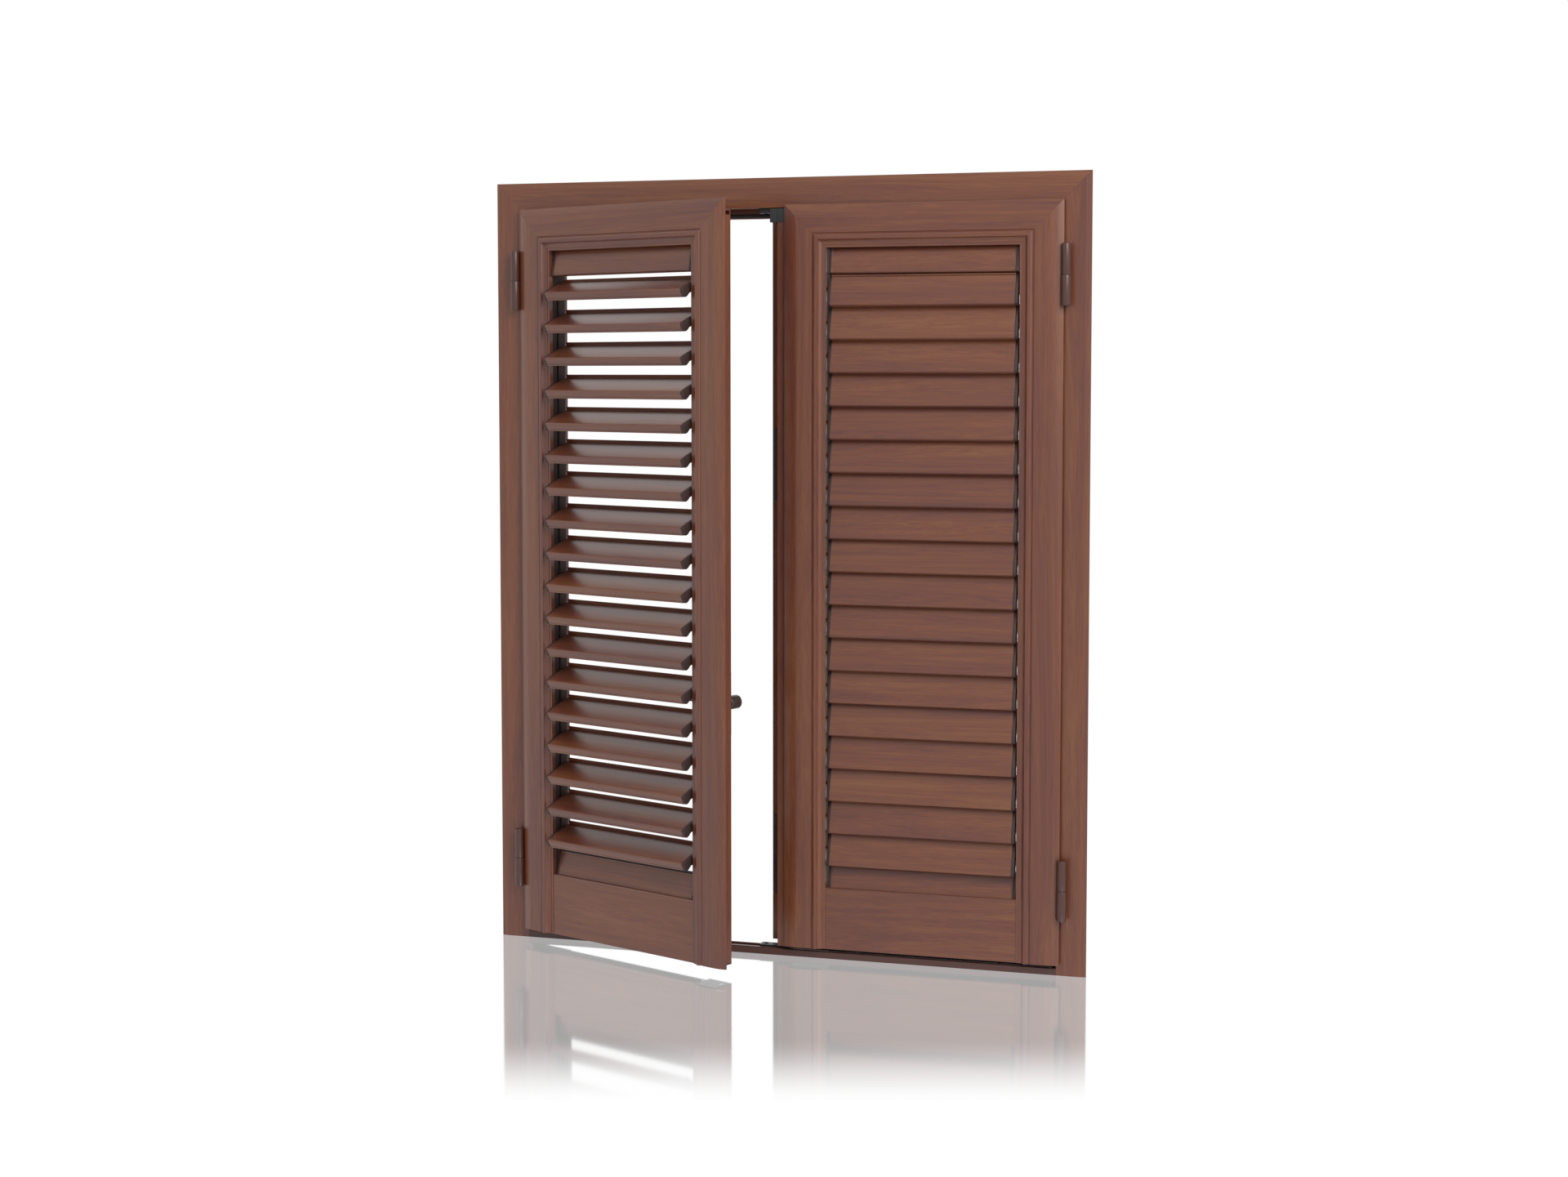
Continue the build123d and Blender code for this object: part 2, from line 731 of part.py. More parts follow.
# Left meeting stile
# Its rear face is bored for the handle's spindle. A guide shuts the bottom end round the locking rod.
rod_x = leaf_width - left_rod_inset
handle_x = leaf_width - handle_inset
handle_back = Plane(
    origin=left_leaf.from_local_coords(Vector(handle_x, leaf_depth, handle_height)),
    x_dir=left_leaf.x_dir,
    z_dir=-left_leaf.y_dir,
)
with BuildPart() as left_meeting_bar:
    add(stile(left_leaf, leaf_width, -1, plain_back(meeting_setback), plain_chamber(meeting_setback)))
    with BuildSketch(handle_back):
        Circle(spindle_radius + slide_clearance)
    extrude(amount=profile_wall, mode=Mode.SUBTRACT)
with BuildPart() as left_rod_guide:
    with BuildSketch(left_leaf.offset(-guide_thickness)):
        with Locations((leaf_width - (meeting_setback + stile_width) / 2, (flange_back + leaf_depth) / 2)):
            Rectangle(stile_width - meeting_setback, leaf_depth - flange_back)
        with Locations((rod_x, bolt_depth)):
            bolt_hole(Mode.SUBTRACT)
    extrude(amount=guide_thickness)
left_meeting_stile = Compound(
    label="left_meeting_stile",
    children=[left_meeting_bar.part, left_rod_guide.part],
)
export_step(left_meeting_stile, "parts/left_meeting_stile.step")

# Right meeting stile
# The same face, but the section runs on past the meeting line as a step and a rear lip for the left leaf to
# close on. Slots in the step's side let the bolt sliders run, and a plastic plug shuts its top end.
slot_side = Plane(
    origin=right_leaf.from_local_coords(Vector(-step_reach, bolt_depth, 0)),
    x_dir=right_leaf.y_dir,
    z_dir=right_leaf.x_dir,
)
upper_neck = upper_slider + (upper_slider_height - neck_height) / 2
lower_neck = lower_slider + (lower_slider_height - neck_height) / 2
step_corners = [
    (stile_width, pocket_start),
    (channel_floor, pocket_start),
    (channel_floor, pocket_end),
    (stile_width, pocket_end),
    (stile_width, leaf_depth),
    (bar_back_width, leaf_depth),
    (bar_back_width, lip_front + lip_thickness),
    (-lip_reach, lip_front + lip_thickness),
    (-lip_reach, lip_front),
    (-step_reach, lip_front),
    (-step_reach, step_level),
    (step_return, step_level),
    (step_return, flange_back),
]
step_chamber = [
    (step_return + profile_wall, flange_edge + profile_wall),
    (round_width / 2, face_level + quirk_depth + profile_wall),
    (cove_start, face_level + quirk_depth + profile_wall),
    (channel_floor - profile_wall, cove_depth + profile_wall),
    (channel_floor - profile_wall, leaf_depth - profile_wall),
    (bar_back_width - profile_wall, leaf_depth - profile_wall),
    (bar_back_width - profile_wall, lip_front + lip_thickness - profile_wall),
    (profile_wall - lip_reach, lip_front + lip_thickness - profile_wall),
    (profile_wall - lip_reach, lip_front + profile_wall),
    (profile_wall - step_reach, lip_front + profile_wall),
    (profile_wall - step_reach, step_level + profile_wall),
    (step_return + profile_wall, step_level + profile_wall),
]
with BuildPart() as right_meeting_bar:
    add(stile(right_leaf, 0, 1, step_corners, step_chamber))
    with BuildSketch(right_leaf.offset(body_top)):
        with Locations((-step_reach, flange_back)):
            Rectangle(body_setback + step_reach, leaf_depth, align=(Align.MIN, Align.MIN))
    extrude(amount=leaf_height, mode=Mode.SUBTRACT)
    with BuildSketch(right_leaf.offset(leaf_height - lip_short)):
        with Locations((-lip_reach, leaf_depth)):
            Rectangle(lip_reach + bar_back_width, lip_front + lip_thickness, align=(Align.MIN, Align.MIN))
    extrude(amount=leaf_height, mode=Mode.SUBTRACT)
    for neck, reach in ((upper_neck, bolt_travel), (lower_neck - bolt_travel, bolt_travel)):
        with BuildSketch(slot_side):
            with Locations((0, neck - slide_clearance)):
                Rectangle(
                    neck_width + 2 * slide_clearance,
                    neck_height + reach + 2 * slide_clearance,
                    align=(Align.CENTER, Align.MIN),
                )
        extrude(amount=profile_wall, mode=Mode.SUBTRACT)
with BuildPart() as right_end_plug:
    with BuildSketch(right_leaf.offset(body_top - plug_below)):
        with Locations((-step_reach - plug_reach, plug_front)):
            Rectangle(plug_reach, plug_back - plug_front, align=(Align.MIN, Align.MIN))
    extrude(amount=plug_below + plug_above)
    with BuildSketch(right_leaf.offset(body_top)):
        with Locations((-step_reach, plug_front)):
            Rectangle(step_reach + step_return, plug_back - plug_front, align=(Align.MIN, Align.MIN))
        with Locations((-right_bolt_inset, bolt_depth)):
            bolt_hole(Mode.SUBTRACT)
    extrude(amount=plug_flange)
with BuildPart() as right_rod_guide:
    with BuildSketch(right_leaf.offset(-guide_thickness)):
        with Locations((-step_reach, step_level)):
            Rectangle(step_reach + stile_width, leaf_depth - step_level, align=(Align.MIN, Align.MIN))
        with Locations((-right_bolt_inset, bolt_depth)):
            bolt_hole(Mode.SUBTRACT)
    extrude(amount=guide_thickness)
right_meeting_stile = Compound(
    label="right_meeting_stile",
    children=[right_meeting_bar.part, right_end_plug.part, right_rod_guide.part],
)
export_step(right_meeting_stile, "parts/right_meeting_stile.step")

# Top rails, each with the fixed slat that is pushed up into its pocket
with BuildPart() as left_top_bar:
    add(top_rail(left_leaf))
    with BuildSketch(left_leaf):
        with Locations((leaf_width - meeting_setback, flange_back)):
            Rectangle(meeting_setback, leaf_depth, align=(Align.MIN, Align.MIN))
    extrude(amount=leaf_height, mode=Mode.SUBTRACT)
    with BuildSketch(left_leaf.offset(body_top - profile_wall)):
        with Locations((rod_x, bolt_depth)):
            bolt_hole()
    extrude(amount=profile_wall, mode=Mode.SUBTRACT)
top_slat_pivot = lowest_pivot + louvre_count * louvre_pitch
slat_seat = opening_top + pocket_depth
left_top_rail = Compound(
    label="left_top_rail",
    children=[left_top_bar.part, *fixed_slat(left_leaf, top_slat_pivot, slat_seat, Keep.BOTTOM)],
)
export_step(left_top_rail, "parts/left_top_rail.step")

with BuildPart() as right_top_bar:
    add(top_rail(right_leaf))
right_top_rail = Compound(
    label="right_top_rail",
    children=[right_top_bar.part, *fixed_slat(right_leaf, top_slat_pivot, slat_seat, Keep.BOTTOM)],
)
export_step(right_top_rail, "parts/right_top_rail.step")

# Bottom rails, each with the fixed slat that stands on it
bottom_slat_pivot = lowest_pivot - louvre_pitch
for leaf, name in ((left_leaf, "left_bottom_rail"), (right_leaf, "right_bottom_rail")):
    with BuildPart() as board:
        add(bottom_rail(leaf))
    bottom = Compound(
        label=name,
        children=[board.part, *fixed_slat(leaf, bottom_slat_pivot, bottom_rail_height, Keep.TOP)],
    )
    export_step(bottom, f"parts/{name}.step")

# Pivot channels
for leaf, name in ((left_leaf, "left_pivot_channels"), (right_leaf, "right_pivot_channels")):
    with BuildPart() as channels:
        add(pivot_channels(leaf))
    channels.part.label = name
    export_step(channels.part, f"parts/{name}.step")

# Control rods
with BuildPart() as left_control_rod:
    add(control_rod(left_leaf, 0, 1, open_tilt))
left_control_rod.part.label = "left_control_rod"
export_step(left_control_rod.part, "parts/left_control_rod.step")

with BuildPart() as right_control_rod:
    add(control_rod(right_leaf, leaf_width, -1, closed_tilt))
right_control_rod.part.label = "right_control_rod"
export_step(right_control_rod.part, "parts/right_control_rod.step")

# Louvres, numbered from the top
# An extruded blade between two moulded ends. All the louvres of a leaf turn together on their control rod.
for leaf, side_name, tilt, crank_side in (
    (left_leaf, "left", open_tilt, -1),
    (right_leaf, "right", closed_tilt, 1),
):
    pieces = louvre(leaf, lowest_pivot, tilt, crank_side)
    for number, height in enumerate(pivot_heights(), start=1):
        lift = Location((0, 0, height - lowest_pivot))
        turning = Compound(
            label=f"{side_name}_louvre_{number:02d}",
            children=[piece.moved(lift) for piece in pieces],
        )
        export_step(turning, f"parts/{side_name}_louvre_{number:02d}.step")

# Handle plate
# A bevelled plate on the back of the left meeting stile, and the gearbox behind the wall that drives the rods.
handle_side = Plane(origin=handle_back.origin, x_dir=left_leaf.y_dir, z_dir=left_leaf.x_dir)
handle_top = Plane(origin=handle_back.origin, x_dir=left_leaf.x_dir, z_dir=left_leaf.z_dir)
with BuildPart() as handle_cover:
    with BuildSketch(handle_side):
        with BuildLine():
            Polyline(
                (0, -plate_height / 2),
                (0, plate_height / 2),
                (plate_thickness, plate_crown_height / 2),
                (plate_thickness, -plate_crown_height / 2),
                close=True,
            )
        make_face()
    extrude(amount=plate_width / 2, both=True)
    with BuildSketch(handle_top):
        with BuildLine():
            Polyline(
                (-plate_width / 2, 0),
                (plate_width / 2, 0),
                (plate_crown_width / 2, plate_thickness),
                (-plate_crown_width / 2, plate_thickness),
                close=True,
            )
        make_face()
    extrude(amount=plate_height / 2, both=True, mode=Mode.INTERSECT)
    with BuildSketch(handle_back):
        Circle(spindle_radius + slide_clearance)
    extrude(amount=-plate_thickness, mode=Mode.SUBTRACT)
with BuildPart() as gearbox:
    with BuildSketch(handle_back.offset(profile_wall)):
        Rectangle(gearbox_width, gearbox_height)
        Circle(spindle_radius + slide_clearance, mode=Mode.SUBTRACT)
    extrude(amount=gearbox_depth)
    for end in (handle_height - gearbox_height / 2, handle_height + gearbox_height / 2 - rod_engagement - bolt_travel):
        with BuildSketch(left_leaf.offset(end)):
            with Locations((rod_x, bolt_depth)):
                bolt_hole()
        extrude(amount=rod_engagement + bolt_travel, mode=Mode.SUBTRACT)
handle_plate = Compound(label="handle_plate", children=[handle_cover.part, gearbox.part])
export_step(handle_plate, "parts/handle_plate.step")

# Handle lever
# A round hub on the spindle with a flat tapering lever, at rest level and pointing to the hinges.
with BuildPart() as handle_lever:
    hub_start = plate_thickness + slide_clearance
    with BuildSketch(handle_back.offset(-hub_start)):
        Circle(hub_radius)
    extrude(amount=-hub_height)
    with BuildSketch(handle_back.offset(spindle_depth)):
        Circle(spindle_radius)
    extrude(amount=-spindle_depth - hub_start)
    lever_back = hub_start + hub_height - lever_setback
    with BuildSketch(handle_back.offset(lever_thickness - lever_back)):
        with BuildLine():
            tip = lever_tip_radius - lever_length
            Line((0, -lever_radius), (0, lever_radius))
            Line((0, lever_radius), (tip, lever_tip_radius))
            ThreePointArc((tip, lever_tip_radius), (-lever_length, 0), (tip, -lever_tip_radius))
            Line((tip, -lever_tip_radius), (0, -lever_radius))
        make_face()
    extrude(amount=-lever_thickness)
handle_lever.part.label = "handle_lever"
export_step(handle_lever.part, "parts/handle_lever.step")


# Locking rods of the left leaf
# Flat bars inside the meeting stile, from the gearbox to just past the ends of the leaf.
def bolt_rod(leaf, x, bottom, top):
    """Flat bar at x in the leaf, between two heights."""
    with BuildPart() as rod:
        with BuildSketch(leaf.offset(bottom)):
            with Locations((x, bolt_depth)):
                Rectangle(bolt_thickness, bolt_width)
        extrude(amount=top - bottom)
    return rod.part


with BuildPart() as lock_rod_upper:
    upper_end = handle_height + gearbox_height / 2 - rod_engagement
    add(bolt_rod(left_leaf, rod_x, upper_end, body_top + tip_above))
lock_rod_upper.part.label = "lock_rod_upper"
export_step(lock_rod_upper.part, "parts/lock_rod_upper.step")

with BuildPart() as lock_rod_lower:
    lower_end = handle_height - gearbox_height / 2 + rod_engagement
    add(bolt_rod(left_leaf, rod_x, -guide_thickness - tip_below, lower_end))
lock_rod_lower.part.label = "lock_rod_lower"
export_step(lock_rod_lower.part, "parts/lock_rod_lower.step")


# Flush bolts of the right leaf
# A finger slider on the side of the step, joined by a neck through the slot to the rod inside.
def flush_bolt(bottom, height, neck, rod_bottom, rod_top):
    """Slider, neck and rod as one piece."""
    with BuildPart() as bolt:
        add(bolt_rod(right_leaf, -right_bolt_inset, rod_bottom, rod_top))
        with BuildSketch(right_leaf.offset(neck)):
            with Locations((-step_reach - slide_clearance, bolt_depth)):
                Rectangle(step_reach + slide_clearance - right_bolt_inset, neck_width, align=(Align.MIN, Align.CENTER))
        extrude(amount=neck_height)
        with BuildSketch(right_leaf.offset(bottom)):
            with Locations((-step_reach - slide_clearance, bolt_depth)):
                Rectangle(slider_thickness, slider_width, align=(Align.MAX, Align.CENTER))
        extrude(amount=height)
        outer = bolt.edges().filter_by(Axis.Y).sort_by(Axis.X)[:2]
        chamfer(outer, slider_thickness / 2)
    return bolt.part


with BuildPart() as right_bolt_upper:
    add(flush_bolt(upper_slider, upper_slider_height, upper_neck, upper_neck, body_top + tip_above))
right_bolt_upper.part.label = "right_bolt_upper"
export_step(right_bolt_upper.part, "parts/right_bolt_upper.step")

with BuildPart() as right_bolt_lower:
    rod_tip = -guide_thickness - tip_below
    add(flush_bolt(lower_slider, lower_slider_height, lower_neck, rod_tip, lower_neck + neck_height))
right_bolt_lower.part.label = "right_bolt_lower"
export_step(right_bolt_lower.part, "parts/right_bolt_lower.step")
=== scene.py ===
from math import cos, pi, radians, sin

import bmesh
import bpy
from mathutils import Matrix, Vector


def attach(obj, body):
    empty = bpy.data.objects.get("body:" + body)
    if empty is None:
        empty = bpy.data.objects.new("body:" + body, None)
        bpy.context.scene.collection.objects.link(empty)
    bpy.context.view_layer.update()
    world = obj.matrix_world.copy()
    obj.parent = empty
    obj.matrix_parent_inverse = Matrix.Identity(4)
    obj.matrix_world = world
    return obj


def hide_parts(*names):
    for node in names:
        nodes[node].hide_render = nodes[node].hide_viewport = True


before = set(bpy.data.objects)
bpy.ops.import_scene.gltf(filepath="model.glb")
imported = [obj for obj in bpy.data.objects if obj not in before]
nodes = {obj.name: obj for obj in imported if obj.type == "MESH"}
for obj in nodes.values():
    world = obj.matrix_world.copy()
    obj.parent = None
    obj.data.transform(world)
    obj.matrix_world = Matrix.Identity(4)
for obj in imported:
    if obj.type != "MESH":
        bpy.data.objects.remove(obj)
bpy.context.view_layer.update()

# Camera
# It stands to the right of the shutters at three quarters of their height and looks slightly down, with a small
# downward shift that keeps their upright edges nearly parallel.
camera_turn = 0.2994
camera_tilt = 0.0687
camera = bpy.data.objects.new("camera", bpy.data.cameras.new("camera"))
bpy.context.collection.objects.link(camera)
camera.location = (1.323, -4.3048, 1.0867)
camera.rotation_euler = (pi / 2 - camera_tilt, 0, camera_turn)
camera.data.sensor_width = 36
camera.data.lens = 55.975
camera.data.shift_y = -0.0315
camera.data.clip_start = 0.05
bpy.context.scene.camera = camera
bpy.context.scene.view_settings.view_transform = "Standard"


# Studio
# White all round, a large soft light from the upper right in front, and a white floor. A polished band of the
# floor mirrors the foot of the shutters and fades out towards the camera.
class Value:
    """Output of a shader node. Arithmetic on it adds Math nodes, and node() adds any other kind."""

    def __init__(self, tree, socket=None):
        self.tree = tree
        self.socket = socket

    def node(self, kind, settings=(), inputs=(), output=0):
        made = self.tree.nodes.new("ShaderNode" + kind)
        for name, setting in dict(settings).items():
            if name == "stops":
                for extra in setting[2:]:
                    made.color_ramp.elements.new(extra[0])
                for element, (place, colour) in zip(made.color_ramp.elements, setting):
                    element.position = place
                    element.color = colour
            else:
                setattr(made, name, setting)
        for name, given in dict(inputs).items():
            if isinstance(given, Value):
                self.tree.links.new(given.socket, made.inputs[name])
            else:
                made.inputs[name].default_value = given
        return Value(self.tree, made.outputs[output])

    def drive(self, shader, name):
        """Links this output to a socket of the shader."""
        self.tree.links.new(self.socket, shader.inputs[name])

    def math(self, operation, first, second=0.0):
        return self.node("Math", {"operation": operation}, {0: first, 1: second})

    def __add__(self, other):
        return self.math("ADD", self, other)

    def __sub__(self, other):
        return self.math("SUBTRACT", self, other)

    def __mul__(self, other):
        return self.math("MULTIPLY", self, other)

    def __rsub__(self, other):
        return self.math("SUBTRACT", other, self)

    __radd__ = __add__
    __rmul__ = __mul__


def screen_colour(red, green, blue):
    """Scene colour of a colour picked on the screen, 0 to 255."""
    return tuple(((part / 255 + 0.055) / 1.055) ** 2.4 for part in (red, green, blue)) + (1,)


fill_share = 0.36
mirror_share = 0.64
mirror_fade = (0.58, 0.95)
sky = bpy.data.worlds.new("white studio")
sky.use_nodes = True
backdrop = sky.node_tree.nodes["Background"]
backdrop.inputs["Color"].default_value = (1, 1, 1, 1)
matt = Value(sky.node_tree).node("LightPath", output=2)
(1 - matt * (1 - fill_share)).drive(backdrop, "Strength")
bpy.context.scene.world = sky

ground = bmesh.new()
bmesh.ops.create_grid(ground, x_segments=1, y_segments=1, size=30)
floor_mesh = bpy.data.meshes.new("floor")
ground.to_mesh(floor_mesh)
ground.free()
floor = bpy.data.objects.new("floor", floor_mesh)
bpy.context.collection.objects.link(floor)
polish = bpy.data.materials.new("floor polish")
polish.use_nodes = True
polish.node_tree.nodes.clear()
start = Value(polish.node_tree)
turned = start.node("Mapping", inputs={"Vector": start.node("TexCoord", output=3), "Rotation": (0, 0, -camera_turn)})
away = start.math("ABSOLUTE", start.node("SeparateXYZ", inputs={0: turned}, output=1))
band = start.node(
    "MapRange",
    {"interpolation_type": "SMOOTHSTEP"},
    {0: away, 1: mirror_fade[0], 2: mirror_fade[1], 3: mirror_share, 4: 0.0},
)
matt = start.node("LightPath", output=2)
glow = start.node("Emission", inputs={"Color": (1, 1, 1, 1), "Strength": 1 - matt * (1 - fill_share)})
gloss = start.node("BsdfAnisotropic", inputs={"Color": (1, 1, 1, 1), "Roughness": 0.06})
both = start.node("MixShader", inputs={0: band, 1: glow, 2: gloss})
both.drive(polish.node_tree.nodes.new("ShaderNodeOutputMaterial"), "Surface")
floor_mesh.materials.append(polish)

lamp = bpy.data.lights.new("window light", "AREA")
lamp.shape = "RECTANGLE"
lamp.size = 2.2
lamp.size_y = 2.2
lamp.energy = 108
window = bpy.data.objects.new("window light", lamp)
window.location = (2.6, -2.8, 3.0)
window.rotation_euler = (Vector((0, 0, 0.8)) - window.location).to_track_quat("-Z", "Y").to_euler()
bpy.context.collection.objects.link(window)

# Jambs
# Two hollow aluminium extrusions, mitred at the top, with a thin outer flange that covers the joint with the
# wall. They are powder-coated brown and printed with a walnut grain that runs along them, golden and purplish
# streaks under fine fibres, and have a satin sheen.
frame_width, frame_height, frame_depth = 1136.0, 1440.0, 60
frame_wall, face_width, stop_edge, rebate = 2, 55, 72, 42
lap, lap_thickness = 22, 3
frame_section = [
    (0, 1.7),
    (9, 0.7),
    (9.7, 0),
    (face_width, 0, 0.8),
    (face_width, rebate),
    (stop_edge, rebate, 0.8),
    (stop_edge, frame_depth, 0.8),
    (lap, frame_depth, 0.8),
    (lap, lap_thickness),
    (0, lap_thickness),
]
frame_chamber = [
    (lap + frame_wall, frame_wall),
    (face_width - frame_wall, frame_wall),
    (face_width - frame_wall, rebate + frame_wall),
    (stop_edge - frame_wall, rebate + frame_wall),
    (stop_edge - frame_wall, frame_depth - frame_wall),
    (lap + frame_wall, frame_depth - frame_wall),
]
grain_dark = screen_colour(84, 42, 33)
grain_dusk = screen_colour(103, 54, 41)
grain_brown = screen_colour(113, 61, 39)
grain_gold = screen_colour(122, 70, 42)
grain_pale = screen_colour(133, 82, 52)
grain_stops = [(0.36, grain_dark), (0.44, grain_dusk), (0.5, grain_brown), (0.56, grain_gold), (0.66, grain_pale)]
left_turn = radians(23)


def wood_coating(name, level, turn=0.0, shift=0.0):
    """Coating with its grain level or upright, for pieces turned clockwise by turn, seen from above. A piece's
    own grain attribute moves it to another part of the print."""
    material = bpy.data.materials.new(name)
    material.use_nodes = True
    shader = material.node_tree.nodes["Principled BSDF"]
    start = Value(material.node_tree)
    along, across = 1.4, 32.0
    stretch = (along, across, across) if level else (across, across, along)
    straight = start.node("Mapping", inputs={"Vector": start.node("TexCoord", output=3), "Rotation": (0, 0, turn)})
    laid = start.node("Mapping", inputs={"Vector": straight, "Location": (shift, shift, shift), "Scale": stretch})
    cut = start.node("Attribute", {"attribute_name": "grain"}, output=1)
    laid = start.node("VectorMath", {"operation": "ADD"}, {0: laid, 1: cut})
    drift = start.node("TexNoise", inputs={"Vector": laid, "Scale": 0.5, "Detail": 1.0}, output=1)
    drift = start.node("VectorMath", {"operation": "SCALE"}, {0: drift, "Scale": 2.2})
    bent = start.node("VectorMath", {"operation": "ADD"}, {0: laid, 1: drift})
    broad = start.node("TexNoise", inputs={"Vector": laid, "Scale": 0.5, "Detail": 1.0})
    streaks = start.node("TexNoise", inputs={"Vector": bent, "Scale": 2.0, "Detail": 5.0, "Roughness": 0.66})
    fibres = start.node("TexNoise", inputs={"Vector": bent, "Scale": 15.0, "Detail": 3.0, "Roughness": 0.75})
    figure = broad * 0.24 + streaks * 0.42 + fibres * 0.34
    colour = start.node("ValToRGB", {"stops": grain_stops}, {"Fac": figure})
    colour.drive(shader, "Base Color")
    (0.3 + fibres * 0.12).drive(shader, "Roughness")
    shader.inputs["Coat Weight"].default_value = 0.35
    shader.inputs["Coat Roughness"].default_value = 0.22
    soft_edges = start.node("Bevel", inputs={"Radius": 0.001})
    relief = start.node("Bump", inputs={"Height": fibres, "Strength": 0.1, "Distance": 0.001, "Normal": soft_edges})
    relief.drive(shader, "Normal")
    return material


def closed_shape(corners, height, hollows=(), steps=5):
    """A bar of even section in millimetres, from z = 0 up. Corners are (x, y) or (x, y, radius), and each of
    hollows lists the corners of a space inside it."""
    shape = bmesh.new()
    points = [shape.verts.new((corner[0], corner[1], 0)) for corner in corners]
    shape.faces.new(points)
    for radius in sorted({corner[2] for corner in corners if len(corner) > 2}):
        turned = [point for point, corner in zip(points, corners) if len(corner) > 2 and corner[2] == radius]
        bmesh.ops.bevel(
            shape, geom=turned, offset=radius, segments=steps, profile=0.5, affect="VERTICES", material=-1
        )
    for hollow in hollows:
        inner = [shape.verts.new((x, y, 0)) for x, y in hollow]
        for one, two in zip(inner, inner[1:] + inner[:1]):
            shape.edges.new((one, two))
    if hollows:
        bmesh.ops.delete(shape, geom=shape.faces[:], context="FACES_ONLY")
        bmesh.ops.triangle_fill(shape, edges=shape.edges[:], use_beauty=True)
    top = bmesh.ops.extrude_face_region(shape, geom=shape.faces[:])
    risen = [part for part in top["geom"] if isinstance(part, bmesh.types.BMVert)]
    bmesh.ops.translate(shape, verts=risen, vec=(0, 0, height))
    return shape


def cut_shape(shape, point, away):
    """Cuts off what lies beyond a plane, on its away side, and closes the cut."""
    cut = bmesh.ops.bisect_plane(
        shape, geom=shape.verts[:] + shape.edges[:] + shape.faces[:], plane_co=point, plane_no=away, clear_outer=True
    )
    rim = [part for part in cut["geom_cut"] if isinstance(part, bmesh.types.BMEdge)]
    bmesh.ops.triangle_fill(shape, edges=rim, use_beauty=True)
    return shape


def joined(*shapes):
    """One shape that holds several."""
    whole = bmesh.new()
    for shape in shapes:
        part = bpy.data.meshes.new("part")
        shape.to_mesh(part)
        shape.free()
        whole.from_mesh(part)
        bpy.data.meshes.remove(part)
    return whole


def moved(shape, x=0, y=0, z=0):
    """The same shape, moved."""
    bmesh.ops.translate(shape, verts=shape.verts, vec=(x, y, z))
    return shape


def placed(shape, place):
    """The same shape, put in place by a matrix."""
    bmesh.ops.transform(shape, matrix=place, verts=shape.verts)
    return shape


def set_piece(shape, name, finish, body, place, grain=None):
    """Makes a piece of a shape in millimetres: put in place, closed, facing outwards, its curves shaded smooth."""
    touching, crease = 0.002, radians(32)
    bmesh.ops.remove_doubles(shape, verts=shape.verts, dist=touching)
    bmesh.ops.transform(shape, matrix=place, verts=shape.verts)
    bmesh.ops.recalc_face_normals(shape, faces=shape.faces)
    for face in shape.faces:
        face.smooth = True
    for edge in shape.edges:
        edge.smooth = len(edge.link_faces) == 2 and edge.calc_face_angle(pi) < crease
    mesh = bpy.data.meshes.new(name)
    shape.to_mesh(mesh)
    shape.free()
    if grain is not None:
        print_place = mesh.attributes.new("grain", "FLOAT", "POINT")
        print_place.data.foreach_set("value", [grain] * len(mesh.vertices))
    mesh.materials.append(finish)
    piece = bpy.data.objects.new(name, mesh)
    bpy.context.collection.objects.link(piece)
    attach(piece, body)
    return piece


millimetres = Matrix.Scale(0.001, 4)
frame_place = Matrix.Translation((-0.568, -0.021, 0)) @ millimetres
upright_coating = wood_coating("coating, upright grain", False)
jamb_pair = []
for side in (1, -1):
    jamb = closed_shape(frame_section, frame_height, [frame_chamber])
    jamb = cut_shape(jamb, (0, 0, frame_height), (1, 0, 1))
    bmesh.ops.scale(jamb, verts=jamb.verts, vec=(side, 1, 1))
    jamb_pair.append(moved(jamb, x=0 if side > 0 else frame_width))
jambs = set_piece(joined(*jamb_pair), "jambs", upright_coating, "frame", frame_place)
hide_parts("frame_jambs")

# Head
# The same extrusion laid across the top, its ends mitred to the jambs. Two slots in its underside let in the
# upper locking rod and the upper flush bolt.
head_turn = Matrix(((0, 0, 1, 0), (0, 1, 0, 0), (-1, 0, 0, frame_height), (0, 0, 0, 1)))
level_coating = wood_coating("coating, level grain", True, shift=3.1)
bolt_lines = (528.0, 566.5)
bolt_depth = 20.0
slot_half = (3.7, 5.7)


def punched(shape, low, high):
    """Cuts an opening through a wall that stands across x, with the corners low and high beyond both its faces."""
    for axis in (1, 2):
        for point in (low, high):
            bmesh.ops.bisect_plane(
                shape,
                geom=shape.verts[:] + shape.edges[:] + shape.faces[:],
                plane_co=point,
                plane_no=[float(way == axis) for way in range(3)],
            )
    inside = [
        face
        for face in shape.faces
        if all(one < part < two for one, part, two in zip(low, face.calc_center_median(), high))
    ]
    bmesh.ops.delete(shape, geom=inside, context="FACES")
    bmesh.ops.bridge_loops(shape, edges=[edge for edge in shape.edges if edge.is_boundary])
    return shape


head = closed_shape(frame_section, frame_width, [frame_chamber])
for line in bolt_lines:
    low = (face_width - frame_wall - 0.5, bolt_depth - slot_half[1], line - slot_half[0])
    high = (face_width + 0.5, bolt_depth + slot_half[1], line + slot_half[0])
    head = punched(head, low, high)
head = cut_shape(head, (0, 0, 0), (1, 0, -1))
head = cut_shape(head, (0, 0, frame_width), (1, 0, 1))
head = set_piece(placed(head, head_turn), "head", level_coating, "frame", frame_place)
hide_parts("frame_head")

# Upper keepers
# Black moulded blocks on a common plate, screwed up under the head. The left one's slot takes the locking rod
# and the right one's the flush bolt.
head_underside = frame_height - face_width


